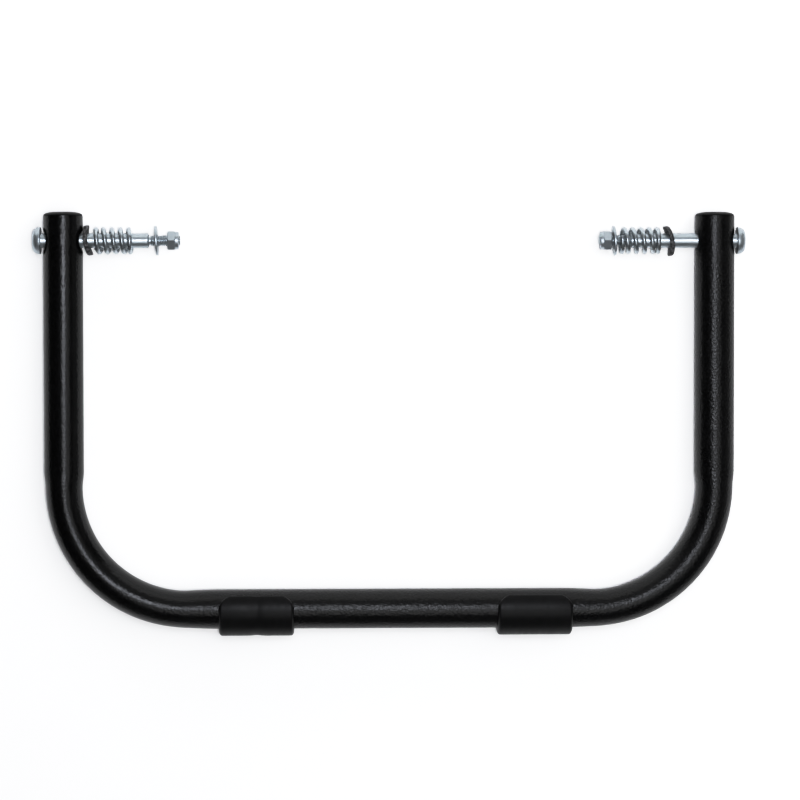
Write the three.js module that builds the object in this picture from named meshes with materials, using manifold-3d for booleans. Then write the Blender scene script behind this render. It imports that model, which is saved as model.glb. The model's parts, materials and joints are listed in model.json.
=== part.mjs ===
// A U-shaped tip bar: one bent steel tube with a sprung shoulder bolt through each leg end and two
// push-on clips on the crossbar. It lies flat: +X runs along the crossbar, +Y along the legs towards
// their ends, +Z is up. The origin is under the middle of its box, on the surface it lies on.
// All sizes are in millimetres.

import * as THREE from "three";
import { mergeVertices } from "three/addons/utils/BufferGeometryUtils.js";
import Module from "manifold-3d";

// ---- Driving dimensions ----

const GAP = 0.3; // between meshes that touch in the real object

const TUBE = { radius: 11, wall: 1.5, legSpacing: 364, bendRadius: 69 };
// A bend squeezes the tube, and the squeeze starts on the straights, at the entry lengths from the bend.
const BEND = {
  inPlane: 0.932,
  outOfPlane: 1.02,
  legEntry: 8.5,
  crossbarEntry: 16,
  stations: 12,
  entryStations: 3,
};
const LEG = { boltHeight: 205.9, endAboveBolt: 13.7 }; // boltHeight is from the crossbar's axis
const BOLT_HOLE = { radius: 4.5, sinkRadius: 6.2, sinkDepth: 0.7 };

const PLUG = {
  crown: 2.2,
  rimHeight: 0.8,
  shoulderHeight: 1.65,
  shoulderInset: 1.2,
  flangeRadius: 10.8,
  flatRadius: 4.6,
  stemLength: 7.5,
  ribHeight: 0.9,
  ribs: 3,
};

const CLIP = {
  innerLength: 42,
  faceLength: 41.4,
  outerLength: 39.6,
  radius: 14.9,
  edge: 1.1,
  lipHeight: 8.7,
  cornerRadius: 7,
};
const CLIP_CENTRES = { left: -74.9, right: 80.6 };

const BOLT = {
  headGap: 1.4,
  headRadius: 7.5,
  headHeight: 4.4,
  headFlatRadius: 4.3,
  headRim: 0.5,
  domeSteps: 4,
  shoulderRadius: 4,
  shoulderLength: 60,
  threadRadius: 3,
  reliefRadius: 2.45,
  reliefLength: 1.2,
  length: 77.4,
  tipChamfer: 0.5,
  socketAcrossFlats: 5,
  socketDepth: 2.6,
};

const SADDLE = { radius: 8.4, thickness: 2.2, boreRadius: 4.6, hollowRadius: 17.1, backRadius: 32.6 };
const WASHER = { radius: 8.2, thickness: 1.2, boreRadius: 3.3, edge: 0.2 };
const NUT = {
  acrossFlats: 10,
  hexHeight: 4.3,
  height: 6.2,
  collarRadius: 4.9,
  boreRadius: 3.3,
  pocketRadius: 4.4,
  pocketDepth: 1.9,
  chamfer: 0.45,
};
const SPRING = { outerRadius: 7.6, wireRadius: 1.25, endRate: 0.12, closedTurns: 0.35, openTurns: 0.65 };

// Where the loose pieces rest along each bolt, measured from the face under its head.
// Tilts are in degrees, and turns and phases in whole turns.
const LEFT = {
  saddleAt: 25.1,
  saddleTilt: 7.8,
  springStart: 29.3,
  springEnd: 51.2,
  springTurns: 5.05,
  springPhase: -0.37,
  washerAt: 64.3,
  washerTilt: 3.5,
  nutAt: 70.5,
};
const RIGHT = {
  saddleAt: 37.1,
  saddleTilt: -9.5,
  springStart: 43.2,
  springEnd: 66.1,
  springTurns: 5.3,
  springPhase: 0.5,
  washerAt: 68.8,
  washerTilt: -3.2,
  nutAt: 70.6,
};

// How finely curves are cut up: sides of a full circle, steps for each turn of a spring's wire, and
// pieces in which the wire's advance is added up.
const FACETS = { tube: 32, small: 24, round: 32, large: 64, wire: 8, stepsPerTurn: 14, springPieces: 200 };
const CORNER_SEGMENTS = 6; // of each rounded corner of a clip
const MERGE = 1e-4; // corners closer than this are one

// ---- Places worked out from them ----

const height = CLIP.radius + LEG.boltHeight + LEG.endAboveBolt + PLUG.crown;
const crossbarY = CLIP.radius - height / 2;
const boltY = crossbarY + LEG.boltHeight;
const legEndY = boltY + LEG.endAboveBolt;
const axisZ = CLIP.radius;
const legX = TUBE.legSpacing / 2;
const bendX = legX - TUBE.bendRadius;
const bendY = crossbarY + TUBE.bendRadius;
const underHeadX = legX + TUBE.radius + BOLT.headGap;

// ---- Materials ----

function finish(colour, roughness, metalness) {
  return new THREE.MeshStandardMaterial({ color: new THREE.Color(colour), roughness, metalness });
}

const powderCoat = finish("#17181a", 0.55, 0.1);
const zinc = finish("#b9c0c6", 0.3, 1);
const blackRubber = finish("#242526", 0.8, 0);
const blackPlastic = finish("#1b1c1d", 0.6, 0);
const nylon = finish("#dfe3e6", 0.5, 0);

// ---- Solids ----

const wasm = await Module();
wasm.setup();

// A closed geometry as a solid that can be joined and cut.
function solid(geometry) {
  const bare = geometry.index ? geometry.toNonIndexed() : geometry.clone();
  bare.deleteAttribute("normal");
  bare.deleteAttribute("uv");
  const merged = mergeVertices(bare, MERGE);
  const corners = [];
  const index = merged.index.array;
  for (let i = 0; i < index.length; i += 3) {
    const [a, b, c] = index.slice(i, i + 3);
    if (a !== b && b !== c && c !== a) corners.push(a, b, c);
  }
  return new wasm.Manifold(
    new wasm.Mesh({
      numProp: 3,
      vertProperties: merged.attributes.position.array,
      triVerts: new Uint32Array(corners),
    }),
  );
}

function geometryOf(body) {
  const mesh = body.getMesh();
  const geometry = new THREE.BufferGeometry();
  geometry.setAttribute("position", new THREE.BufferAttribute(mesh.vertProperties, 3));
  geometry.setIndex(new THREE.BufferAttribute(mesh.triVerts, 1));
  return geometry;
}

function meshOf(name, geometry, material) {
  const mesh = new THREE.Mesh(geometry, material.clone());
  mesh.name = name;
  return mesh;
}

// A profile of [along, radius] points turned about the X axis.
function turned(profile, facets) {
  const points = profile.map(([along, radius]) => new THREE.Vector2(radius, along));
  return new THREE.LatheGeometry(points, facets).rotateZ(-Math.PI / 2).rotateX(Math.PI / 2);
}

// A round bar swept along a path. three.js gives a circle two sides for each curve segment.
function sweptRound(radius, path, steps, sides) {
  const section = new THREE.Shape().absarc(0, 0, radius, 0, 2 * Math.PI, false);
  const settings = { steps, extrudePath: path, curveSegments: sides / 2, bevelEnabled: false };
  return new THREE.ExtrudeGeometry(section, settings);
}

// A rod along X from one place to another.
function rodAlongX(from, to, radius, facets) {
  return turned(
    [
      [from, 0],
      [from, radius],
      [to, radius],
      [to, 0],
    ],
    facets,
  );
}

// A rod along Z whose middle is at a place along X.
function rodAlongZ(x, length, radius) {
  const rod = new THREE.CylinderGeometry(radius, radius, length, FACETS.large);
  return rod.rotateX(Math.PI / 2).translate(x, 0, 0);
}

// A hexagonal prism along X, with two of its flats facing +Y and -Y.
function hexAlongX(from, to, acrossFlats) {
  const cornerRadius = acrossFlats / Math.sqrt(3);
  const outline = new THREE.Shape();
  for (let i = 0; i < 6; i++) {
    const angle = ((i + 0.5) * Math.PI) / 3;
    const corner = [cornerRadius * Math.sin(angle), cornerRadius * Math.cos(angle)];
    if (i === 0) outline.moveTo(...corner);
    else outline.lineTo(...corner);
  }
  outline.closePath();
  const prism = new THREE.ExtrudeGeometry(outline, { depth: to - from, bevelEnabled: false });
  return prism.rotateY(Math.PI / 2).translate(from, 0, 0);
}

// ---- The bent tube ----

// The stations of one side as [x, y, angle], down its leg, round its bend and on to the crossbar. The
// angle is 0 along the leg and a quarter turn along the crossbar.
function sideStations() {
  const list = [];
  for (let i = BEND.entryStations; i > 0; i--) {
    list.push([legX, bendY + (BEND.legEntry * i) / BEND.entryStations, 0]);
  }
  for (let i = 0; i <= BEND.stations; i++) {
    const angle = ((i / BEND.stations) * Math.PI) / 2;
    const x = bendX + TUBE.bendRadius * Math.cos(angle);
    list.push([x, bendY - TUBE.bendRadius * Math.sin(angle), angle]);
  }
  for (let i = 1; i <= BEND.entryStations; i++) {
    list.push([bendX - (BEND.crossbarEntry * i) / BEND.entryStations, crossbarY, Math.PI / 2]);
  }
  return list;
}

// The tube's centre line from the left leg's end round to the right leg's end. Its parameter runs in
// equal steps from station to station: few on the straights and many round the bends.
class BarPath extends THREE.Curve {
  constructor() {
    super();
    this.stations = [];
    this.directions = [];
    this.addStation(-1, legX, legEndY, 0);
    for (const station of sideStations()) this.addStation(-1, ...station);
    for (const station of sideStations().reverse()) this.addStation(1, ...station);
    this.addStation(1, legX, legEndY, 0);
  }

  // side is -1 on the left half and 1 on the right one
  addStation(side, x, y, angle) {
    this.stations.push(new THREE.Vector3(side * x, y, axisZ));
    this.directions.push(new THREE.Vector3(Math.sin(angle), side * Math.cos(angle), 0));
  }

  get steps() {
    return this.stations.length - 1;
  }

  sample(list, t) {
    const place = t * this.steps;
    const i = Math.min(Math.floor(place), this.steps - 1);
    return list[i].clone().lerp(list[i + 1], place - i);
  }

  getPoint(t) {
    return this.sample(this.stations, t);
  }

  getPointAt(t) {
    return this.getPoint(t);
  }

  getTangentAt(t) {
    return this.sample(this.directions, t).normalize();
  }
}

// How far the tube is squeezed: 1 inside a bend, falling to 0 along the straight on either side of it.
// across and down are measured from the bend's centre.
function squeezeAt(across, down) {
  if (down < 0) return 1 - THREE.MathUtils.smoothstep(-down, 0, BEND.legEntry);
  if (across < 0) return 1 - THREE.MathUtils.smoothstep(-across, 0, BEND.crossbarEntry);
  return 1;
}

// Bending flattens the tube in the plane of the bend and lets it bulge a little out of it.
function flattenBends(geometry) {
  const position = geometry.attributes.position;
  for (let i = 0; i < position.count; i++) {
    const side = Math.sign(position.getX(i));
    const across = Math.abs(position.getX(i)) - bendX;
    const down = bendY - position.getY(i);
    const squeeze = squeezeAt(across, down);
    const inPlane = THREE.MathUtils.lerp(1, BEND.inPlane, squeeze);
    const outOfPlane = THREE.MathUtils.lerp(1, BEND.outOfPlane, squeeze);
    const reach = Math.hypot(Math.max(across, 0), Math.max(down, 0)); // from the bend's centre
    const scale = (TUBE.bendRadius + (reach - TUBE.bendRadius) * inPlane) / reach;
    if (across > 0) position.setX(i, side * (bendX + across * scale));
    if (down > 0) position.setY(i, bendY - down * scale);
    position.setZ(i, axisZ + (position.getZ(i) - axisZ) * outOfPlane);
  }
  return geometry;
}

function bentRod(radius) {
  const path = new BarPath();
  return flattenBends(sweptRound(radius, path, path.steps, FACETS.tube));
}

// A drilled hole with its rim pressed in a little, through one wall of a leg.
function wallHole(side, face) {
  const surfaceX = side * legX + face * TUBE.radius;
  const sink = [
    [-TUBE.wall * 3, 0],
    [-TUBE.wall * 3, BOLT_HOLE.radius],
    [-BOLT_HOLE.sinkDepth - sagitta(TUBE.radius, BOLT_HOLE.radius), BOLT_HOLE.radius],
    [0, BOLT_HOLE.sinkRadius],
    [GAP, BOLT_HOLE.sinkRadius],
    [GAP, 0],
  ];
  const cutter = turned(sink, FACETS.small);
  if (face < 0) cutter.rotateY(Math.PI);
  return solid(cutter.translate(surfaceX, boltY, axisZ));
}

// How far a circle of a radius falls away from its tangent at a distance along it.
function sagitta(radius, distance) {
  return radius - Math.sqrt(radius * radius - distance * distance);
}

function barTube() {
  let tube = solid(bentRod(TUBE.radius));
  tube = tube.subtract(solid(stretchedBore()));
  for (const side of [-1, 1]) {
    for (const face of [-1, 1]) tube = tube.subtract(wallHole(side, face));
  }
  return meshOf("bar_tube", geometryOf(tube), powderCoat);
}

// The bore runs a little past both leg ends, so that it cuts them open.
function stretchedBore() {
  const bore = bentRod(TUBE.radius - TUBE.wall);
  const position = bore.attributes.position;
  for (let i = 0; i < position.count; i++) {
    if (position.getY(i) > legEndY - GAP) position.setY(i, legEndY + GAP);
  }
  return bore;
}

// ---- End plugs and clips ----

function endPlug(name, x) {
  const stemRadius = TUBE.radius - TUBE.wall - GAP;
  const coreRadius = stemRadius - PLUG.ribHeight;
  const ribPitch = PLUG.stemLength / PLUG.ribs;
  const profile = [[-PLUG.stemLength, 0]];
  for (let i = 0; i < PLUG.ribs; i++) {
    const foot = -PLUG.stemLength + i * ribPitch;
    const edge = foot + ribPitch / 2;
    profile.push([foot, coreRadius], [edge, stemRadius], [edge, coreRadius]);
  }
  profile.push([GAP, coreRadius], [GAP, PLUG.flangeRadius], [PLUG.rimHeight, PLUG.flangeRadius]);
  profile.push([PLUG.shoulderHeight, PLUG.flangeRadius - PLUG.shoulderInset]);
  profile.push([PLUG.crown, PLUG.flatRadius], [PLUG.crown, 0]);
  const plug = turned(profile, FACETS.small).rotateZ(Math.PI / 2).translate(x, legEndY, axisZ);
  return meshOf(name, plug, blackPlastic);
}

// A sleeve with bevelled edges, cut open towards +Y, whose two lips have rounded corners.
function clip(name, x) {
  const inner = TUBE.radius + GAP;
  const ring = turned(
    [
      [-CLIP.innerLength / 2, inner],
      [-CLIP.faceLength / 2, CLIP.radius - CLIP.edge],
      [-CLIP.outerLength / 2, CLIP.radius],
      [CLIP.outerLength / 2, CLIP.radius],
      [CLIP.faceLength / 2, CLIP.radius - CLIP.edge],
      [CLIP.innerLength / 2, inner],
      [-CLIP.innerLength / 2, inner],
    ],
    FACETS.large,
  );
  const halfLength = CLIP.innerLength / 2 + GAP;
  const cornerX = CLIP.outerLength / 2 - CLIP.cornerRadius + GAP;
  const cornerY = CLIP.lipHeight - CLIP.cornerRadius;
  const outline = new THREE.Shape();
  outline.moveTo(-halfLength, -CLIP.radius - GAP);
  outline.lineTo(halfLength, -CLIP.radius - GAP);
  outline.lineTo(halfLength, cornerY);
  outline.absarc(cornerX, cornerY, CLIP.cornerRadius, 0, Math.PI / 2, false);
  outline.absarc(-cornerX, cornerY, CLIP.cornerRadius, Math.PI / 2, Math.PI, false);
  outline.lineTo(-halfLength, cornerY);
  outline.closePath();
  const depth = 2 * (CLIP.radius + GAP);
  const settings = { depth, curveSegments: CORNER_SEGMENTS, bevelEnabled: false };
  const block = new THREE.ExtrudeGeometry(outline, settings);
  block.translate(0, 0, -depth / 2);
  const body = geometryOf(solid(ring).intersect(solid(block)));
  return meshOf(name, body.translate(x, crossbarY, axisZ), blackRubber);
}

// ---- What is on each bolt: every piece is made along +X from the face under the head ----

function pivotBolt(name) {
  const { headHeight, headRadius, headFlatRadius, headRim } = BOLT;
  const profile = [
    [-headHeight, 0],
    [-headHeight, headFlatRadius],
  ];
  for (let i = 1; i <= BOLT.domeSteps; i++) {
    const turn = (i / BOLT.domeSteps) * (Math.PI / 2);
    const along = -headRim - (headHeight - headRim) * Math.cos(turn);
    profile.push([along, headFlatRadius + (headRadius - headFlatRadius) * Math.sin(turn)]);
  }
  const shoulderEnd = BOLT.shoulderLength;
  const threadStart = shoulderEnd + BOLT.reliefLength;
  profile.push([0, headRadius], [0, BOLT.shoulderRadius]);
  profile.push([shoulderEnd - BOLT.tipChamfer, BOLT.shoulderRadius]);
  profile.push([shoulderEnd, BOLT.shoulderRadius - BOLT.tipChamfer]);
  profile.push([shoulderEnd, BOLT.reliefRadius], [threadStart, BOLT.reliefRadius]);
  profile.push([threadStart + BOLT.tipChamfer, BOLT.threadRadius]);
  profile.push([BOLT.length - BOLT.tipChamfer, BOLT.threadRadius]);
  profile.push([BOLT.length, BOLT.threadRadius - BOLT.tipChamfer], [BOLT.length, 0]);
  const socket = hexAlongX(-headHeight - GAP, -headHeight + BOLT.socketDepth, BOLT.socketAcrossFlats);
  const body = solid(turned(profile, FACETS.round)).subtract(solid(socket));
  return meshOf(name, geometryOf(body), zinc);
}

// A round washer curved like a saddle: hollow towards +X, crowned towards -X, loose on the shoulder.
function saddleWasher(name, at, tilt) {
  const { radius, thickness, backRadius, hollowRadius, boreRadius } = SADDLE;
  const blank = solid(rodAlongX(-radius, radius, radius, FACETS.round));
  const back = solid(rodAlongZ(backRadius - thickness / 2, 3 * radius, backRadius));
  const hollow = solid(rodAlongZ(hollowRadius + thickness / 2, 3 * radius, hollowRadius));
  const bore = solid(rodAlongX(-radius, radius, boreRadius, FACETS.small));
  const body = blank.intersect(back).subtract(hollow).subtract(bore);
  const mesh = meshOf(name, geometryOf(body), blackRubber);
  mesh.position.x = at;
  mesh.rotation.z = THREE.MathUtils.degToRad(tilt);
  return mesh;
}

function flatWasher(name, at, tilt) {
  const { radius, boreRadius, edge } = WASHER;
  const half = WASHER.thickness / 2;
  const ring = turned(
    [
      [-half, boreRadius],
      [-half, radius - edge],
      [-half + edge, radius],
      [half - edge, radius],
      [half, radius - edge],
      [half, boreRadius],
      [-half, boreRadius],
    ],
    FACETS.round,
  );
  const mesh = meshOf(name, ring, zinc);
  mesh.position.x = at;
  mesh.rotation.z = THREE.MathUtils.degToRad(tilt);
  return mesh;
}

// The centre line of a coil spring about the X axis, right-handed, with its end turns closed.
class SpringPath extends THREE.Curve {
  constructor(place) {
    super();
    this.turns = place.springTurns;
    this.phase = place.springPhase;
    this.start = place.springStart + SPRING.wireRadius;
    this.travel = place.springEnd - place.springStart - 2 * SPRING.wireRadius;
    this.advance = [0]; // how far along the wire has come after each small piece of it
    for (let i = 0; i < FACETS.springPieces; i++) {
      const turn = ((i + 0.5) / FACETS.springPieces) * this.turns;
      const fromEnd = Math.min(turn, this.turns - turn);
      const opened = THREE.MathUtils.smoothstep(fromEnd, SPRING.closedTurns, SPRING.openTurns);
      this.advance.push(this.advance[i] + THREE.MathUtils.lerp(SPRING.endRate, 1, opened));
    }
  }

  getPoint(t) {
    const last = this.advance.length - 1;
    const place = t * last;
    const i = Math.min(Math.floor(place), last - 1);
    const advanced = THREE.MathUtils.lerp(this.advance[i], this.advance[i + 1], place - i);
    const angle = 2 * Math.PI * (this.phase + t * this.turns);
    const radius = SPRING.outerRadius - SPRING.wireRadius;
    const along = this.start + (this.travel * advanced) / this.advance[last];
    return new THREE.Vector3(along, radius * Math.cos(angle), radius * Math.sin(angle));
  }
}

function coilSpring(name, place) {
  const steps = Math.round(place.springTurns * FACETS.stepsPerTurn);
  const wire = sweptRound(SPRING.wireRadius, new SpringPath(place), steps, FACETS.wire);
  return meshOf(name, wire, zinc);
}

// A hexagon nut with a round collar on its far side, where the nylon ring sits in a pocket.
function lockNut(name, at) {
  const cornerRadius = NUT.acrossFlats / Math.sqrt(3);
  const turnedForm = turned(
    [
      [at, 0],
      [at, cornerRadius - 2 * NUT.chamfer],
      [at + NUT.chamfer, cornerRadius + GAP],
      [at + NUT.hexHeight - NUT.chamfer, cornerRadius + GAP],
      [at + NUT.hexHeight, NUT.collarRadius],
      [at + NUT.height - NUT.chamfer, NUT.collarRadius],
      [at + NUT.height, NUT.collarRadius - NUT.chamfer],
      [at + NUT.height, 0],
    ],
    FACETS.round,
  );
  const hex = hexAlongX(at - GAP, at + NUT.hexHeight, NUT.acrossFlats);
  const collar = rodAlongX(at + NUT.hexHeight - GAP, at + NUT.height + GAP, NUT.collarRadius, FACETS.round);
  const bore = rodAlongX(at - GAP, at + NUT.height + GAP, NUT.boreRadius, FACETS.small);
  const pocketFloor = at + NUT.height - NUT.pocketDepth;
  const pocket = rodAlongX(pocketFloor, at + NUT.height + GAP, NUT.pocketRadius, FACETS.small);
  const blank = solid(hex).add(solid(collar)).intersect(solid(turnedForm));
  const body = blank.subtract(solid(bore)).subtract(solid(pocket));
  return meshOf(name, geometryOf(body), zinc);
}

function nylonInsert(name, nutAt) {
  const outer = NUT.pocketRadius - GAP;
  const start = nutAt + NUT.height - NUT.pocketDepth + GAP;
  const end = nutAt + NUT.height;
  const ring = turned(
    [
      [start, NUT.boreRadius],
      [start, outer],
      [end, outer],
      [end, NUT.boreRadius],
      [start, NUT.boreRadius],
    ],
    FACETS.small,
  );
  return meshOf(name, ring, nylon);
}

// One bolt with everything that is threaded on it. The right one is turned half round, not mirrored,
// so its thread and its spring stay right-handed.
function pivotSet(side, place) {
  const set = new THREE.Group();
  set.add(pivotBolt(side + "_pivot_bolt"));
  set.add(saddleWasher(side + "_saddle_washer", place.saddleAt, place.saddleTilt));
  set.add(coilSpring(side + "_spring", place));
  set.add(flatWasher(side + "_flat_washer", place.washerAt, place.washerTilt));
  set.add(lockNut(side + "_lock_nut", place.nutAt));
  set.add(nylonInsert(side + "_nylon_insert", place.nutAt));
  set.position.set(side === "left" ? -underHeadX : underHeadX, boltY, axisZ);
  set.rotation.y = side === "left" ? 0 : Math.PI;
  return set;
}

// ---- The whole bar ----

const bar = new THREE.Group();
bar.add(barTube());
bar.add(endPlug("left_end_plug", -legX));
bar.add(endPlug("right_end_plug", legX));
bar.add(clip("left_clip", CLIP_CENTRES.left));
bar.add(clip("right_clip", CLIP_CENTRES.right));
bar.add(pivotSet("left", LEFT));
bar.add(pivotSet("right", RIGHT));

export default bar;
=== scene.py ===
"""A U-shaped tip bar lying on a white table, seen from straight above.

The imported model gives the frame: every piece is built in its place, in metres, and rides on the body
of the node that it replaces. Sizes below are in millimetres.
"""

import json
import math

import bmesh
import bpy
from mathutils import Matrix, Vector


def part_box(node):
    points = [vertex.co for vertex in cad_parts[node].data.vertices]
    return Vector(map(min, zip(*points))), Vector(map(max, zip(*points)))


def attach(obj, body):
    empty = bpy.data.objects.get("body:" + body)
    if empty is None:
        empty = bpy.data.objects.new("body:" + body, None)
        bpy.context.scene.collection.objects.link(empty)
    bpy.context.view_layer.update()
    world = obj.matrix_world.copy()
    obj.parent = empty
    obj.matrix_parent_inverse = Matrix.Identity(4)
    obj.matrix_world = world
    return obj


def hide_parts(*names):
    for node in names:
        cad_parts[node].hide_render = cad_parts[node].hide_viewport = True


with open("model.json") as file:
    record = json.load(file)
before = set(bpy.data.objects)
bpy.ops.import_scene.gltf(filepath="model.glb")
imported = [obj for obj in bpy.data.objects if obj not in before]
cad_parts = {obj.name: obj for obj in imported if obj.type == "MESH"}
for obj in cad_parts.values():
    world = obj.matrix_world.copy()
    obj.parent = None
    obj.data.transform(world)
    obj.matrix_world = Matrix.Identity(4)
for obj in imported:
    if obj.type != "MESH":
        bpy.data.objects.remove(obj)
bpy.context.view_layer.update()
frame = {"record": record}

MM = 0.001

# ---- Sizes ----

TUBE = {"radius": 11, "wall": 1.5, "bend": 69}
# A bend squeezes the tube. The squeeze grows over the two entries, measured into the bend from its ends.
BEND = {
    "in_plane": 0.932,
    "out_of_plane": 1.02,
    "leg_entry": (-8.5, 1),
    "crossbar_entry": (-17, 9),
}
BOLT_HOLE = {"radius": 4.5, "drill_overshoot": 1}
DIMPLE_SHAPE = 1.6  # how steeply a dimple falls towards its hole
DIMPLES = {
    "left": {"radius": 6.6, "depth": 0.9},
    "right": {"radius": 5.6, "depth": 0.45},
}
PLUG = {
    "crown": 2.2,
    "flange": 10.8,
    "flat": 4.6,
    "gap": 0.3,
    "stem": 9.2,
    "stem_length": 7.5,
    "taper": 0.8,
    "taper_length": 1.5,
    "edge": 0.2,
}
CLIP = {
    "inner_length": 42,
    "face_length": 41.4,
    "outer_length": 39.6,
    "radius": 14.9,
    "bevel": 1.1,
    "lip_height": 8.7,
    "corner": 7,
    "edge": 0.6,
    "clearance": 0.3,
    "dip_half_width": 2.8,
}
CLIP_DIPS = {"left": 0.32, "right": 0}  # the depth of a shallow groove round the middle of a clip
BOLT = {
    "head_gap": 1.4,
    "head_radius": 7.5,
    "head_height": 4.4,
    "head_flat": 4.3,
    "flat_inset": 0.2,
    "head_rim": 0.5,
    "shoulder_radius": 4,
    "shoulder_length": 60,
    "thread_radius": 3,
    "pitch": 1,
    "thread_depth": 0.54,
    "relief_radius": 2.45,
    "relief_length": 1.2,
    "length": 77.4,
    "tip_radius": 2.5,
    "socket_flats": 5,
    "socket_depth": 2.6,
    "shoulder_chamfer": 0.5,
    "edge": 0.15,
}
SADDLE = {
    "radius": 8.4,
    "thickness": 2.2,
    "bore": 4.6,
    "hollow": 17.1,
    "back": 32.6,
    "edge": 0.8,
}
WASHER = {"radius": 8.2, "thickness": 1.2, "bore": 3.3, "edge": 0.3}
NUT = {
    "flats": 10,
    "hex_height": 4.3,
    "height": 6.2,
    "collar": 4.9,
    "collar_edge": 0.55,
    "bore": 3.3,
    "pocket": 4.4,
    "pocket_depth": 1.9,
    "face_chamfer": (0.5, 0.15),
    "collar_chamfer": (0.55, 0.1),
    "spare": 0.1,
}
NYLON_EDGE = 0.2
# A spring climbs at end_rate of its full rate for closed_turns, and at its full rate from open_turns on.
SPRING = {"radius": 7.6, "wire": 1.25, "end_rate": 0.12, "closed_turns": 0.35, "open_turns": 0.65}
TABLE = {"reach": 8000, "gap": 0.05}

# Where the loose pieces rest along each bolt, from the face under its head. Tilts are in degrees.
SETS = {
    "left": {
        "saddle": 25.1,
        "saddle_tilt": 7.8,
        "turns": 5.05,
        "phase": -0.37,
        "washer": 64.3,
        "washer_tilt": 3.5,
    },
    "right": {
        "saddle": 37.1,
        "saddle_tilt": -9.5,
        "turns": 5.3,
        "phase": 0.5,
        "washer": 68.8,
        "washer_tilt": -3.2,
    },
}

# ---- Places, worked out from the frame ----

tube_low, tube_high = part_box("bar_tube")
bolt_low, bolt_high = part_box("left_pivot_bolt")
clip_low, clip_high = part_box("left_clip")
leg_x = tube_high.x / MM - TUBE["radius"]
leg_end_y = tube_high.y / MM
crossbar_y = tube_low.y / MM + TUBE["radius"]
axis_z = (clip_low.z + clip_high.z) / 2 / MM
bolt_y = (bolt_low.y + bolt_high.y) / 2 / MM
under_head_x = leg_x + TUBE["radius"] + BOLT["head_gap"]
bend_x = leg_x - TUBE["bend"]
bend_y = crossbar_y + TUBE["bend"]

SIDES = {"left": -1, "right": 1}


def body_of_node(node):
    for body, nodes in frame["record"]["behaviour"]["bodies"].items():
        if node in nodes:
            return body


# ---- Camera ----

# Width is what the picture spans at the height of the tube's axis.
CAMERA = {
    "x": -39.4,
    "y": 58.4,
    "height": 1500,
    "width": 447.2,
    "turn_degrees": (-1.715, -1.715, -0.064),
}


def make_camera():
    data = bpy.data.cameras.new("camera")
    data.lens = data.sensor_width * CAMERA["height"] / CAMERA["width"]
    camera = bpy.data.objects.new("camera", data)
    camera.location = Vector((CAMERA["x"], CAMERA["y"], axis_z + CAMERA["height"])) * MM
    camera.rotation_euler = [math.radians(turn) for turn in CAMERA["turn_degrees"]]
    bpy.context.scene.collection.objects.link(camera)
    bpy.context.scene.camera = camera


# ---- Mesh helpers ----

MERGE = 0.001  # corners closer than this are one
SHARP_DEGREES = 30  # an edge that turns more than this stays sharp


def smoothstep(low, high, value):
    t = min(max((value - low) / (high - low), 0), 1)
    return t * t * (3 - 2 * t)


def mix(a, b, t):
    return a + (b - a) * t


def circle(count, radius):
    """Corners of a regular polygon about the origin."""
    angles = [2 * math.pi * i / count for i in range(count)]
    return [(radius * math.cos(a), radius * math.sin(a)) for a in angles]


def rounded(points, radius, steps=4):
    """An open outline whose inner corners are each rounded off by about that radius."""
    points = [Vector(p) for p in points]
    outline = [points[0]]
    for before, corner, after in zip(points, points[1:], points[2:]):
        reach = min(radius, (before - corner).length / 2, (after - corner).length / 2)
        start = corner + (before - corner).normalized() * reach
        end = corner + (after - corner).normalized() * reach
        for i in range(steps + 1):
            t = i / steps
            outline.append(start * (1 - t) ** 2 + corner * 2 * t * (1 - t) + end * t**2)
    outline.append(points[-1])
    return outline


def dome(start, top, flat, radius, steps=14):
    """A rounded edge as (along, radius): from a flat face at top out to the full radius at start."""
    turns = [i / steps * math.pi / 2 for i in range(steps + 1)]
    return [(start + (top - start) * math.cos(turn), mix(flat, radius, math.sin(turn))) for turn in turns]


def tidy_mesh(bm, sharp_degrees):
    """Joins touching corners, turns the faces outwards and keeps the sharp edges sharp."""
    bmesh.ops.remove_doubles(bm, verts=bm.verts, dist=MERGE)
    bmesh.ops.dissolve_degenerate(bm, edges=bm.edges, dist=MERGE / 10)
    bmesh.ops.recalc_face_normals(bm, faces=bm.faces)
    limit = math.radians(sharp_degrees)
    for face in bm.faces:
        face.smooth = True
    for edge in bm.edges:
        if len(edge.link_faces) == 2:
            edge.smooth = edge.calc_face_angle(0) < limit


def skin(rings, ends="capped", ring_closed=True):
    """A bmesh over rows of corners. ends is capped, joined (the last row meets the first) or open."""
    bm = bmesh.new()
    rows = [[bm.verts.new(p) for p in ring] for ring in rings]
    pairs = list(zip(rows, rows[1:]))
    if ends == "joined":
        pairs.append((rows[-1], rows[0]))
    for low, high in pairs:
        count = len(low) if ring_closed else len(low) - 1
        for i in range(count):
            j = (i + 1) % len(low)
            bm.faces.new((low[i], low[j], high[j], high[i]))
    if ends == "capped":
        bm.faces.new(rows[0])
        bm.faces.new(rows[-1][::-1])
    return bm


def turned(profile, count=64, closed=False):
    """A bmesh of a profile of (along, radius) turned about the X axis."""
    rings = []
    for i in range(count):
        angle = 2 * math.pi * i / count
        across, up = math.cos(angle), math.sin(angle)
        rings.append([(along, radius * across, radius * up) for along, radius in profile])
    return skin(rings, ends="joined", ring_closed=closed)


def rod(start, end, radius, count=64):
    """A plain round bar along X."""
    return turned([(start, 0), (start, radius), (end, radius), (end, 0)], count)


def add(bm, other):
    """Puts another bmesh's faces into the first one."""
    made = {vert: bm.verts.new(vert.co) for vert in other.verts}
    for face in other.faces:
        bm.faces.new([made[vert] for vert in face.verts])
    other.free()


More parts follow.
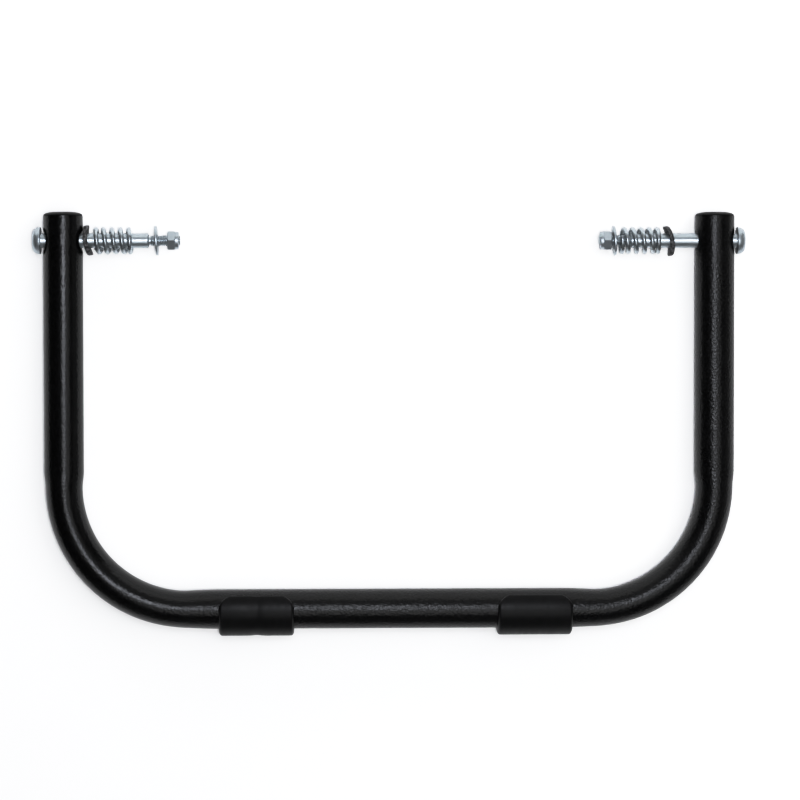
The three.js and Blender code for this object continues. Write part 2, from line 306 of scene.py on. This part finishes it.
def hex_prism(start, end, flats):
    """A hexagonal bar along X with two flats facing +Y and -Y."""
    corners = circle(6, flats / math.sqrt(3))
    ring = [(z, y) for y, z in corners]
    rings = [[(along, y, z) for y, z in ring] for along in (start, end)]
    bm = skin(rings)
    tidy_mesh(bm, SHARP_DEGREES)
    return bm


def temporary(bm):
    mesh = bpy.data.meshes.new("temporary")
    bm.to_mesh(mesh)
    bm.free()
    thing = bpy.data.objects.new("temporary", mesh)
    bpy.context.scene.collection.objects.link(thing)
    return thing


def combined(bm, tools, operation):
    """The first bmesh cut by, joined to or kept within the others."""
    tidy_mesh(bm, SHARP_DEGREES)
    base = temporary(bm)
    helpers = []
    for tool in tools:
        tidy_mesh(tool, SHARP_DEGREES)
        helpers.append(temporary(tool))
        modifier = base.modifiers.new("boolean", "BOOLEAN")
        modifier.operation = operation
        modifier.solver = "EXACT"
        modifier.object = helpers[-1]
    bpy.context.view_layer.update()
    evaluated = base.evaluated_get(bpy.context.evaluated_depsgraph_get())
    result = bmesh.new()
    result.from_mesh(evaluated.to_mesh())
    for thing in [base, *helpers]:
        mesh = thing.data
        bpy.data.objects.remove(thing)
        bpy.data.meshes.remove(mesh)
    return result


def stand_in(node, bm, material, matrix=None, sharp_degrees=SHARP_DEGREES):
    """Makes a piece out of a bmesh in millimetres and lets it stand for a CAD node."""
    tidy_mesh(bm, sharp_degrees)
    bmesh.ops.transform(bm, matrix=Matrix.Scale(MM, 4) @ (matrix or Matrix()), verts=bm.verts)
    mesh = bpy.data.meshes.new(node + ".detail")
    bm.to_mesh(mesh)
    bm.free()
    mesh.materials.append(material)
    piece = bpy.data.objects.new(node + ".detail", mesh)
    bpy.context.scene.collection.objects.link(piece)
    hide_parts(node)
    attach(piece, body_of_node(node))
    return piece


# ---- Material helpers ----


class Shader:
    """A material's node tree, written as a chain of short calls."""

    def __init__(self, name, colour, roughness, metallic=0):
        self.material = bpy.data.materials.new(name)
        self.material.use_nodes = True
        self.tree = self.material.node_tree
        self.surface = self.tree.nodes["Principled BSDF"]
        self.surface.inputs["Base Color"].default_value = (*colour, 1)
        self.surface.inputs["Roughness"].default_value = roughness
        self.surface.inputs["Metallic"].default_value = metallic
        self.place = self.tree.nodes.new("ShaderNodeTexCoord").outputs["Object"]

    def node(self, kind, settings=None, **inputs):
        node = self.tree.nodes.new(kind)
        for key, value in (settings or {}).items():
            setattr(node, key, value)
        for key, value in inputs.items():
            self.connect(node.inputs[key.replace("_", " ")], value)
        return node

    def connect(self, socket, value):
        if isinstance(value, bpy.types.NodeSocket):
            self.tree.links.new(value, socket)
        else:
            socket.default_value = value

    def noise(self, size_mm, detail=2, rough=0.5, stretch=None, place=None):
        """Smooth noise from 0 to 1 whose lumps are about that size."""
        place = place or self.place
        if stretch:
            place = self.node("ShaderNodeMapping", Vector=place, Scale=stretch).outputs["Vector"]
        scale = 1 / (size_mm * MM)
        node = self.node("ShaderNodeTexNoise", Vector=place, Scale=scale, Detail=detail, Roughness=rough)
        return node.outputs[0]

    def remap(self, value, low, high, to_low=0, to_high=1):
        node = self.node("ShaderNodeMapRange", {"interpolation_type": "SMOOTHSTEP"}, Value=value)
        for key, number in (("From Min", low), ("From Max", high), ("To Min", to_low), ("To Max", to_high)):
            node.inputs[key].default_value = number
        return node.outputs["Result"]

    def maths(self, operation, a, b=0):
        node = self.tree.nodes.new("ShaderNodeMath")
        node.operation = operation
        self.connect(node.inputs[0], a)
        self.connect(node.inputs[1], b)
        return node.outputs["Value"]

    def along(self, axis):
        """Distance along one axis, in metres."""
        return self.node("ShaderNodeSeparateXYZ", Vector=self.place).outputs[axis]

    def between(self, share, first, second):
        """A number between two numbers."""
        node = self.node("ShaderNodeMix", {"data_type": "FLOAT"})
        for socket, value in zip(node.inputs[:1] + node.inputs[2:4], (share, first, second)):
            self.connect(socket, value)
        return node.outputs[0]

    def blend(self, share, first, second):
        """A colour between two colours."""
        node = self.node("ShaderNodeMix", {"data_type": "RGBA"})
        self.connect(node.inputs[0], share)
        self.connect(node.inputs[6], (*first, 1))
        self.connect(node.inputs[7], (*second, 1))
        return node.outputs[2]

    def colour(self, value):
        self.connect(self.surface.inputs["Base Color"], value)

    def roughness(self, value):
        self.connect(self.surface.inputs["Roughness"], value)

    def bump(self, height, depth_mm):
        """Raises the surface by that height, on top of any bump it already has."""
        depth = self.maths("MULTIPLY", depth_mm, MM)
        bump = self.node("ShaderNodeBump", Height=height, Strength=1, Distance=depth)
        old = self.surface.inputs["Normal"]
        if old.is_linked:
            self.tree.links.new(old.links[0].from_socket, bump.inputs["Normal"])
        self.tree.links.new(bump.outputs["Normal"], old)

    def from_bolt_axis(self):
        """Distance from the line of the two bolts, in metres."""
        shift = (0, -bolt_y * MM, -axis_z * MM)
        place = self.node("ShaderNodeMapping", Vector=self.place, Location=shift, Scale=(0, 1, 1))
        length = self.node("ShaderNodeVectorMath", {"operation": "LENGTH"})
        self.connect(length.inputs[0], place.outputs["Vector"])
        return length.outputs["Value"]


# ---- Materials ----


def powder_coat():
    """Black powder coat: an even, fine pebbled skin that breaks a highlight into specks."""
    shader = Shader("powder_coat", (0.0008, 0.0008, 0.0009), 0.28)
    shader.surface.inputs["Specular IOR Level"].default_value = 0.45
    coarseness = shader.remap(shader.along("X"), -0.17, -0.03)
    pebbles = shader.noise(1.3, detail=1, rough=0.4)
    grain = shader.noise(1.1, detail=1)
    patches = shader.noise(14, detail=3)
    smoother = shader.remap(patches, 0.3, 0.7, 0.21, 0.25)
    coarser = shader.remap(patches, 0.3, 0.7, 0.27, 0.31)
    shader.roughness(shader.between(coarseness, smoother, coarser))
    flecks = shader.remap(grain, 0.42, 0.66)
    shader.colour(shader.blend(flecks, (0.0005, 0.0005, 0.0006), (0.004, 0.004, 0.0044)))
    shader.bump(pebbles, shader.remap(coarseness, 0, 1, 0.13, 0.21))
    return shader.material


def plug_plastic():
    """Satin moulded plastic with a faint grain."""
    shader = Shader("plug_plastic", (0.004, 0.004, 0.0043), 0.5)
    shader.surface.inputs["Specular IOR Level"].default_value = 0.3
    grain = shader.noise(0.5, detail=3)
    shader.roughness(shader.remap(shader.noise(5), 0.3, 0.7, 0.46, 0.58))
    shader.colour(shader.blend(grain, (0.003, 0.003, 0.0033), (0.005, 0.005, 0.0054)))
    shader.bump(grain, 0.02)
    return shader.material


def clip_rubber():
    """Matt moulded rubber, a little greyer than the tube, with soft marks round it."""
    shader = Shader("clip_rubber", (0.006, 0.006, 0.0063), 0.4)
    shader.surface.inputs["Specular IOR Level"].default_value = 0.22
    grain = shader.noise(0.45, detail=2)
    rings = shader.noise(2.2, detail=2, stretch=(1, 0.15, 0.15))
    shader.roughness(shader.remap(rings, 0.3, 0.7, 0.34, 0.42))
    shader.colour(shader.blend(rings, (0.004, 0.004, 0.0042), (0.006, 0.006, 0.0063)))
    shader.bump(rings, 0.05)
    shader.bump(grain, 0.02)
    return shader.material


def saddle_rubber():
    """Black rubber with paler flecks of painted highlight, a mottled sheen put into its colour."""
    shader = Shader("saddle_rubber", (0.012, 0.012, 0.0125), 0.55)
    flecks = shader.remap(shader.noise(1.6, detail=4, rough=0.7), 0.44, 0.66)
    shader.roughness(shader.remap(flecks, 0, 1, 0.42, 0.7))
    # the paler flecks are painted highlights: colour standing in for a mottled sheen, not wear
    shader.colour(shader.blend(flecks, (0.016, 0.016, 0.0165), (0.16, 0.16, 0.165)))
    shader.bump(flecks, 0.05)
    return shader.material


def zinc():
    """Bright zinc plating on turned steel, slightly blue, with rings left by the tool."""
    shader = Shader("zinc", (0.50, 0.54, 0.57), 0.34, metallic=0.82)
    clouds = shader.noise(3, detail=4, rough=0.6)
    rings = shader.node("ShaderNodeTexNoise", {"noise_dimensions": "1D"}, Scale=1 / (0.25 * MM), Detail=2)
    shader.connect(rings.inputs["W"], shader.from_bolt_axis())
    shader.colour(shader.blend(clouds, (0.40, 0.45, 0.48), (0.52, 0.55, 0.57)))
    shader.roughness(shader.remap(clouds, 0.3, 0.75, 0.32, 0.42))
    shader.bump(rings.outputs[0], 0.006)
    shader.bump(shader.noise(0.6, detail=3), 0.008)
    return shader.material


def spring_zinc():
    """Zinc-plated drawn wire, a little smoother than the turned pieces."""
    shader = Shader("spring_zinc", (0.5, 0.55, 0.58), 0.26, metallic=0.9)
    clouds = shader.noise(2, detail=3)
    shader.colour(shader.blend(clouds, (0.44, 0.49, 0.52), (0.56, 0.59, 0.61)))
    shader.roughness(shader.remap(clouds, 0.3, 0.7, 0.26, 0.36))
    shader.bump(shader.noise(0.5, detail=2), 0.008)
    return shader.material


def nylon():
    """Pale nylon, a little see-through at its edges."""
    shader = Shader("nylon", (0.72, 0.75, 0.78), 0.4)
    clouds = shader.noise(1.5, detail=2)
    shader.colour(shader.blend(clouds, (0.66, 0.70, 0.74), (0.78, 0.80, 0.82)))
    shader.surface.inputs["Subsurface Weight"].default_value = 0.15
    shader.surface.inputs["Subsurface Scale"].default_value = 0.5 * MM
    shader.bump(clouds, 0.02)
    return shader.material


def table_white():
    shader = Shader("table_white", (0.9, 0.9, 0.9), 0.8)
    shader.colour(shader.blend(shader.noise(60, detail=3), (0.89, 0.89, 0.89), (0.91, 0.91, 0.91)))
    return shader.material


# ---- The bent tube ----

FINE_STEP = 0.4  # between stations near a bolt hole
LONG_STEP = 4  # between stations elsewhere on the straights
ENTRY_STEP = 1  # between stations where the squeeze of a bend begins
BEND_STEP = 1.5  # degrees between stations round a bend
TUBE_SIDES = 128


def steps_between(start, end, step):
    """Places from start up to but not including end, about that far apart."""
    count = max(round(abs(end - start) / step), 1)
    return [mix(start, end, i / count) for i in range(count)]


def squeeze_at(from_leg):
    """How far the tube is squeezed, from 0 to 1, at a distance along it from the leg's end of the bend."""
    from_crossbar = TUBE["bend"] * math.pi / 2 - from_leg
    return smoothstep(*BEND["leg_entry"], from_leg) * smoothstep(*BEND["crossbar_entry"], from_crossbar)


def half_stations():
    """Stations of one side as (x, y, angle, squeeze), up to the crossbar's middle. Angle 0 is the leg."""
    near = DIMPLES["left"]["radius"] + 1
    leg_entry = bend_y - BEND["leg_entry"][0]
    crossbar_entry = bend_x + BEND["crossbar_entry"][0]
    heights = steps_between(leg_end_y, bolt_y + near, LONG_STEP)
    heights += steps_between(bolt_y + near, bolt_y - near, FINE_STEP)
    heights += steps_between(bolt_y - near, leg_entry, LONG_STEP)
    heights += steps_between(leg_entry, bend_y, ENTRY_STEP)
    stations = [(leg_x, y, 0, squeeze_at(bend_y - y)) for y in heights]
    for degrees in steps_between(0, 90, BEND_STEP):
        angle = math.radians(degrees)
        x = bend_x + TUBE["bend"] * math.cos(angle)
        y = bend_y - TUBE["bend"] * math.sin(angle)
        stations.append((x, y, angle, squeeze_at(TUBE["bend"] * angle)))
    places = steps_between(bend_x, crossbar_entry, ENTRY_STEP)
    places += steps_between(crossbar_entry, 0, LONG_STEP)
    for x in places:
        past = TUBE["bend"] * math.pi / 2 + bend_x - x
        stations.append((x, crossbar_y, math.pi / 2, squeeze_at(past)))
    return stations


def tube_stations():
    """The tube's centre line as (place, direction across it in its plane, squeeze), from leg to leg."""
    stations = []
    for x, y, angle, squeeze in half_stations():
        stations.append((Vector((-x, y)), Vector((-math.cos(angle), -math.sin(angle))), squeeze))
    stations.append((Vector((0, crossbar_y)), Vector((0, -1)), 0))
    for x, y, angle, squeeze in reversed(half_stations()):
        stations.append((Vector((x, y)), Vector((math.cos(angle), -math.sin(angle))), squeeze))
    return stations


def dimple(point):
    """Presses the rim of a bolt hole inwards."""
    side = math.copysign(1, point.x)
    size = DIMPLES["left" if side < 0 else "right"]
    away = math.hypot(point.y - bolt_y, point.z - axis_z)
    if away > size["radius"]:
        return point
    face = math.copysign(1, abs(point.x) - leg_x)
    share = 1 - (away - BOLT_HOLE["radius"]) / (size["radius"] - BOLT_HOLE["radius"])
    press = size["depth"] * min(max(share, 0), 1) ** DIMPLE_SHAPE
    return Vector((point.x - side * face * press, point.y, point.z))


def tube_ring(station, radius):
    place, across, squeeze = station
    in_plane = radius * mix(1, BEND["in_plane"], squeeze)
    out_of_plane = radius * mix(1, BEND["out_of_plane"], squeeze)
    ring = []
    for a, b in circle(TUBE_SIDES, 1):
        flat = place + across * (a * in_plane)
        ring.append(dimple(Vector((flat.x, flat.y, axis_z + b * out_of_plane))))
    return ring


def bar_tube():
    stations = tube_stations()
    outer = [tube_ring(s, TUBE["radius"]) for s in stations]
    inner = [tube_ring(s, TUBE["radius"] - TUBE["wall"]) for s in stations]
    bm = skin(outer + inner[::-1], ends="joined")
    drills = []
    for side in SIDES.values():
        reach = TUBE["radius"] + BOLT_HOLE["drill_overshoot"]
        drill = rod(side * leg_x - reach, side * leg_x + reach, BOLT_HOLE["radius"])
        bmesh.ops.translate(drill, vec=(0, bolt_y, axis_z), verts=drill.verts)
        drills.append(drill)
    return stand_in("bar_tube", combined(bm, drills, "DIFFERENCE"), powder_coat())


# ---- End plugs and clips ----


def end_plug(side, material):
    stem = [
        (-PLUG["stem_length"], 0),
        (-PLUG["stem_length"], PLUG["stem"] - PLUG["taper"]),
        (-PLUG["stem_length"] + PLUG["taper_length"], PLUG["stem"]),
        (PLUG["gap"], PLUG["stem"]),
        (PLUG["gap"], PLUG["flange"]),
    ]
    crown = dome(PLUG["gap"], PLUG["crown"], PLUG["flat"], PLUG["flange"])
    profile = [(PLUG["crown"], 0)] + crown + rounded(stem, PLUG["edge"])[::-1]
    place = Vector((SIDES[side] * leg_x, leg_end_y, axis_z))
    matrix = Matrix.Translation(place) @ Matrix.Rotation(math.pi / 2, 4, "Z")
    return stand_in(side + "_end_plug", turned(profile, 96), material, matrix)


LIP_STEPS = 5
DIP_STEPS = 12
CLIP_STEP = 2  # degrees between sections round a clip


def clip_cut_back(angle):
    """How far the round corners of a clip's lips cut back its ends, at an angle from its outermost line."""
    height = -CLIP["radius"] * math.cos(angle)
    into = height - (CLIP["lip_height"] - CLIP["corner"])
    if into <= 0:
        return 0
    return CLIP["corner"] - math.sqrt(max(CLIP["corner"] ** 2 - into**2, 0))


def clip_section(angle, thinning, dip):
    """A clip's section along X at an angle: a loop of (along, radius) with soft edges."""
    cut = clip_cut_back(angle)
    inner = TUBE["radius"] + CLIP["clearance"]
    outer = CLIP["radius"]
    middle = (inner + outer) / 2
    half_inner = CLIP["inner_length"] / 2 - cut
    half_face = CLIP["face_length"] / 2 - cut
    half_outer = CLIP["outer_length"] / 2 - cut
    corner = rounded(
        [
            (half_outer * 0.5, outer),
            (half_outer, outer),
            (half_face, outer - CLIP["bevel"]),
            (half_inner, inner),
            (half_inner * 0.5, inner),
        ],
        CLIP["edge"],
    )
    right = [Vector((half_outer * 0.5 * i / DIP_STEPS, outer)) for i in range(DIP_STEPS)] + corner
    right.append(Vector((0, inner)))
    loop = right + [Vector((-p.x, p.y)) for p in right[1:-1][::-1]]
    shaped = []
    for along, radius in loop:
        radius = mix(middle, radius, thinning)
        if radius > middle:
            radius -= dip * math.exp(-((along / CLIP["dip_half_width"]) ** 2))
        shaped.append((along, radius))
    return shaped


def clip(side, material, dip):
    low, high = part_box(side + "_clip")
    centre = (low.x + high.x) / 2 / MM
    lip = math.acos(-CLIP["lip_height"] / CLIP["radius"])
    round_off = CLIP["edge"] / CLIP["radius"]
    half_wall = (CLIP["radius"] - TUBE["radius"]) / 2
    angles = [(angle, 1) for angle in steps_between(0, lip - round_off, math.radians(CLIP_STEP))]
    for i in range(LIP_STEPS + 1):
        turn = i / LIP_STEPS * math.pi / 2
        thinning = 1 - CLIP["edge"] / half_wall * (1 - math.cos(turn))
        angles.append((lip - round_off * (1 - math.sin(turn)), thinning))
    sections = [(-a, t) for a, t in angles[:0:-1]] + angles
    rings = []
    for angle, thinning in sections:
        ring = []
        for along, radius in clip_section(abs(angle), thinning, dip):
            y = crossbar_y - radius * math.cos(angle)
            z = axis_z + radius * math.sin(angle)
            ring.append((centre + along, y, z))
        rings.append(ring)
    return stand_in(side + "_clip", skin(rings), material, sharp_degrees=50)


# ---- What is on each bolt: built along +X from the face under the head ----

BOLT_SIDES = 64
TIP_SLOPE = 1.2


def bolt_matrix(side):
    place = Matrix.Translation(Vector((SIDES[side] * under_head_x, bolt_y, axis_z)))
    return place if side == "left" else place @ Matrix.Rotation(math.pi, 4, "Y")


def head_and_shoulder():
    height = BOLT["head_height"]
    profile = [(-height, 0), (-height, BOLT["head_flat"] - BOLT["flat_inset"])]
    profile += dome(-BOLT["head_rim"], -height, BOLT["head_flat"], BOLT["head_radius"])
    shoulder = BOLT["shoulder_radius"]
    end = BOLT["shoulder_length"]
    chamfer = BOLT["shoulder_chamfer"]
    relief = BOLT["relief_radius"]
    corners = [
        profile[-1],
        (0, BOLT["head_radius"]),
        (0, shoulder),
        (end - chamfer, shoulder),
        (end, shoulder - chamfer),
        (end, relief),
        (end + BOLT["relief_length"], relief),
    ]
    return profile[:-1] + [tuple(p) for p in rounded(corners, BOLT["edge"], steps=3)]


def thread_rings():
    """Rows of a real thread: each row winds one pitch along, and is held within the thread's two ends."""
    start = BOLT["shoulder_length"] + BOLT["relief_length"]
    end, pitch = BOLT["length"], BOLT["pitch"]
    crest, root = BOLT["thread_radius"], BOLT["thread_radius"] - BOLT["thread_depth"]
    tooth = ((0, crest), (0.125, crest), (0.4375, root), (0.6875, root))  # shares of a pitch
    rings = []
    for turn in range(-1, math.ceil((end - start) / pitch) + 1):
        for share, radius in tooth:
            ring = []
            for i in range(BOLT_SIDES + 1):
                along = start + pitch * (turn + share + i / BOLT_SIDES)
                along = min(max(along, start), end)
                run_in = BOLT["relief_radius"] + along - start
                run_out = BOLT["tip_radius"] + (end - along) * TIP_SLOPE
                angle = 2 * math.pi * i / BOLT_SIDES
                here = min(radius, run_in, run_out)
                ring.append((along, here * math.cos(angle), here * math.sin(angle)))
            rings.append(ring)
    return rings


def pivot_bolt(side, material):
    bm = turned(head_and_shoulder(), BOLT_SIDES)
    add(bm, skin(thread_rings(), ends="open", ring_closed=False))
    tip = [(BOLT["length"], y, z) for y, z in circle(BOLT_SIDES, BOLT["tip_radius"])]
    bm.faces.new([bm.verts.new(p) for p in tip])
    height = BOLT["head_height"]
    socket = hex_prism(-height - 1, -height + BOLT["socket_depth"], BOLT["socket_flats"])
    bolt = combined(bm, [socket], "DIFFERENCE")
    return stand_in(side + "_pivot_bolt", bolt, material, bolt_matrix(side))


def saddle_washer(side, material):
    """A round washer curved like a saddle: hollow towards +X, crowned towards -X."""
    edge = SADDLE["edge"]
    flat = [
        (-1, SADDLE["bore"] + 0.5),
        (-1, SADDLE["bore"]),
        (1, SADDLE["bore"]),
        (1, SADDLE["radius"]),
        (-1, SADDLE["radius"]),
        (-1, SADDLE["bore"] + 0.5),
    ]
    face = []
    count = 10
    for along, radius in rounded(flat, edge):
        if face and abs(along) > 0.99 and abs(face[-1][0] - along) < 0.01:
            last = face[-1]
            for i in range(1, count):
                face.append((along, mix(last[1], radius, i / count)))
        face.append((along, radius))
    bm = turned(face[:-1], 96, closed=True)
    for vert in bm.verts:
        across = vert.co.y
        hollow = SADDLE["hollow"] - math.sqrt(SADDLE["hollow"] ** 2 - across**2)
        back = SADDLE["back"] - math.sqrt(SADDLE["back"] ** 2 - across**2)
        half = SADDLE["thickness"] / 2
        vert.co.x = mix(back - half, hollow + half, (vert.co.x + 1) / 2)
    place = SETS[side]
    tilt = Matrix.Rotation(math.radians(place["saddle_tilt"]), 4, "Z")
    matrix = bolt_matrix(side) @ Matrix.Translation(Vector((place["saddle"], 0, 0))) @ tilt
    return stand_in(side + "_saddle_washer", bm, material, matrix, sharp_degrees=50)


def flat_washer(side, material):
    half = WASHER["thickness"] / 2
    outline = [
        (0, WASHER["bore"]),
        (-half, WASHER["bore"]),
        (-half, WASHER["radius"]),
        (half, WASHER["radius"]),
        (half, WASHER["bore"]),
        (0, WASHER["bore"]),
    ]
    bm = turned(rounded(outline, WASHER["edge"])[:-1], 96, closed=True)
    place = SETS[side]
    tilt = Matrix.Rotation(math.radians(place["washer_tilt"]), 4, "Z")
    matrix = bolt_matrix(side) @ Matrix.Translation(Vector((place["washer"], 0, 0))) @ tilt
    return stand_in(side + "_flat_washer", bm, material, matrix)


WIRE_SIDES = 20
WIRE_STEPS = 40  # points in a turn of a spring
WIRE_CAP = 0.6  # how far a wire's end bulges, as a share of its radius


def spring_line(side):
    """Points along a spring's wire with their directions: right-handed, with its end turns closed."""
    low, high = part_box(side + "_spring")
    place = SETS[side]
    turns = place["turns"]
    near = under_head_x - max(abs(low.x), abs(high.x)) / MM + SPRING["wire"]
    travel = (high.x - low.x) / MM - 2 * SPRING["wire"]
    count = round(turns * WIRE_STEPS)
    advance = [0]
    for i in range(count):
        turn = (i + 0.5) / count * turns
        opened = smoothstep(SPRING["closed_turns"], SPRING["open_turns"], min(turn, turns - turn))
        advance.append(advance[-1] + mix(SPRING["end_rate"], 1, opened))
    radius = SPRING["radius"] - SPRING["wire"]
    points = []
    for i, come in enumerate(advance):
        angle = 2 * math.pi * (place["phase"] + i / count * turns)
        along = near + travel * come / advance[-1]
        points.append(Vector((along, radius * math.cos(angle), radius * math.sin(angle))))
    return points


def end_cap(index, count, steps=5):
    """Rings at one point of a wire as (lift, share of the radius): several for a round end, else one."""
    turns = [i / steps * math.pi / 2 for i in range(steps)]
    cap = [(math.sin(turn) * WIRE_CAP, math.cos(turn)) for turn in turns] + [(WIRE_CAP, 0.05)]
    if index == 0:
        return [(-lift, share) for lift, share in reversed(cap)]
    if index == count - 1:
        return cap
    return [(0, 1)]


def coil_spring(side, material):
    points = spring_line(side)
    rings = []
    for i, point in enumerate(points):
        forward = (points[min(i + 1, len(points) - 1)] - points[max(i - 1, 0)]).normalized()
        out = Vector((0, point.y, point.z)).normalized()
        across = forward.cross(out).normalized()
        for lift, share in end_cap(i, len(points)):
            middle = point + forward * (lift * SPRING["wire"])
            section = circle(WIRE_SIDES, SPRING["wire"] * share)
            rings.append([middle + out * a + across * b for a, b in section])
    return stand_in(side + "_spring", skin(rings), material, bolt_matrix(side))


def lock_nut(side, material):
    """A hexagon nut with chamfered corners and a round collar that holds the nylon ring."""
    low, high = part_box(side + "_lock_nut")
    start = under_head_x - max(abs(low.x), abs(high.x)) / MM
    hex_end = start + NUT["hex_height"]
    end = start + NUT["height"]
    half = NUT["flats"] / 2
    corner = NUT["flats"] / math.sqrt(3) + NUT["spare"]
    face_length, face_inset = NUT["face_chamfer"]
    collar_length, collar_inset = NUT["collar_chamfer"]
    block = hex_prism(start, hex_end, NUT["flats"])
    barrel = [
        (start, 0),
        (start, half - face_inset),
        (start + face_length, corner),
        (hex_end - collar_length, corner),
        (hex_end, half - collar_inset),
        (hex_end, 0),
    ]
    body = combined(block, [turned(barrel, 96)], "INTERSECT")
    root = hex_end - 0.5
    outline = [(root, 0), (root, NUT["collar"]), (end, NUT["collar"]), (end, 0)]
    collar = turned(rounded(outline, NUT["collar_edge"], steps=6), 96)
    whole = combined(body, [collar], "UNION")
    bore = rod(start - 1, end + 1, NUT["bore"])
    pocket = rod(end - NUT["pocket_depth"], end + 1, NUT["pocket"])
    nut = combined(whole, [bore, pocket], "DIFFERENCE")
    return stand_in(side + "_lock_nut", nut, material, bolt_matrix(side))


def nylon_insert(side, material):
    low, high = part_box(side + "_nylon_insert")
    start = under_head_x - max(abs(low.x), abs(high.x)) / MM
    end = under_head_x - min(abs(low.x), abs(high.x)) / MM
    outer = (high.y - low.y) / 2 / MM
    inner = NUT["bore"]
    middle = (inner + outer) / 2
    outline = [(end, middle), (end, outer), (start, outer), (start, inner), (end, inner), (end, middle)]
    bm = turned(rounded(outline, NYLON_EDGE)[:-1], 64, closed=True)
    return stand_in(side + "_nylon_insert", bm, material, bolt_matrix(side))


# ---- The whole bar ----


def build_bar():
    bar_tube()
    plastic, rubber, saddle = plug_plastic(), clip_rubber(), saddle_rubber()
    plated, wire, ring = zinc(), spring_zinc(), nylon()
    for side in SIDES:
        clip(side, rubber, CLIP_DIPS[side])
    for side in SIDES:
        end_plug(side, plastic)
        pivot_bolt(side, plated)
        saddle_washer(side, saddle)
        coil_spring(side, wire)
        flat_washer(side, plated)
        lock_nut(side, plated)
        nylon_insert(side, ring)


# ---- Table, light and surroundings ----


def table():
    """The table touches the clips and the leg ends, which lie on it at a slight slope."""
    clip_bottom = axis_z - CLIP["radius"]
    leg_bottom = axis_z - TUBE["radius"]
    slope = (leg_bottom - clip_bottom) / (leg_end_y - crossbar_y)
    corners = []
    for across, along in ((-1, -1), (1, -1), (1, 1), (-1, 1)):
        x, y = across * TABLE["reach"], along * TABLE["reach"]
        height = clip_bottom + slope * (y - crossbar_y) - TABLE["gap"]
        corners.append((x * MM, y * MM, height * MM))
    mesh = bpy.data.meshes.new("table")
    mesh.from_pydata(corners, [], [(0, 1, 2, 3)])
    mesh.materials.append(table_white())
    plane = bpy.data.objects.new("table", mesh)
    bpy.context.scene.collection.objects.link(plane)


def softbox(name, place, aim, size, radiance, in_reflections=True, colour=(1, 1, 1)):
    """A rectangular light, placed and aimed in metres, of that brightness."""
    data = bpy.data.lights.new(name, "AREA")
    data.shape = "RECTANGLE"
    data.size, data.size_y = size
    data.energy = radiance * math.pi * size[0] * size[1]
    data.color = colour
    light = bpy.data.objects.new(name, data)
    light.location = place
    direction = Vector(aim) - Vector(place)
    light.rotation_euler = direction.to_track_quat("-Z", "Y").to_euler()
    light.visible_glossy = in_reflections
    light.visible_camera = False
    bpy.context.scene.collection.objects.link(light)


def lights():
    cool = (0.96, 0.99, 1.07)
    softbox("key", (-0.02, 0.22, 1.62), (-0.02, 0.22, 0), (0.42, 0.5), 7.0, colour=cool)
    softbox("front_panel", (0.1, -0.58, 1.6), (0.1, -0.58, 0), (0.8, 0.86), 1.1)
    softbox("right_panel", (0.72, -0.15, 1.6), (0.72, -0.15, 0), (0.6, 1.3), 0.6)
    softbox("back_panel", (0, 1.4, 1.6), (0, 1.4, 0), (3.0, 1.2), 0.22)
    softbox("back_wall", (0, 2.2, 0.75), (0, 0, 0.75), (4.4, 1.5), 0.76)
    softbox("front_wall", (0, -2.2, 0.75), (0, 0, 0.75), (4.4, 1.5), 0.05)
    softbox("right_wall", (2.4, 0, 0.9), (0, 0, 0.6), (2.4, 1.4), 0.12)
    hidden = {"in_reflections": False}
    softbox("table_light", (0.01, 0.02, 1.62), (0.01, 0.02, 0), (0.14, 0.14), 132, **hidden)
    softbox("side_light", (0.9, 0.4, 1.5), (0, 0, 0), (1.2, 1.2), 1.15, **hidden)


def surroundings():
    """Dim all round for what the bar reflects, and pale where the camera looks past the table."""
    world = bpy.data.worlds.new("surroundings")
    world.use_nodes = True
    tree = world.node_tree
    output = tree.nodes["World Output"]
    dim = tree.nodes["Background"]
    dim.inputs["Color"].default_value = (0.02, 0.02, 0.02, 1)
    pale = tree.nodes.new("ShaderNodeBackground")
    pale.inputs["Color"].default_value = (0.95, 0.95, 0.95, 1)
    choice = tree.nodes.new("ShaderNodeMixShader")
    path = tree.nodes.new("ShaderNodeLightPath")
    tree.links.new(path.outputs["Is Camera Ray"], choice.inputs[0])
    tree.links.new(dim.outputs[0], choice.inputs[1])
    tree.links.new(pale.outputs[0], choice.inputs[2])
    tree.links.new(choice.outputs[0], output.inputs["Surface"])
    bpy.context.scene.world = world


def tone_curve():
    """The camera's tone curve: shadows as they are, and a table that reaches full white."""
    settings = bpy.context.scene.view_settings
    settings.view_transform = "Standard"
    settings.use_curve_mapping = True
    curve = settings.curve_mapping.curves[3]
    curve.points.new(0.12, 0.12)
    curve.points.new(0.66, 1.0)
    settings.curve_mapping.update()


make_camera()
build_bar()
table()
lights()
surroundings()
tone_curve()
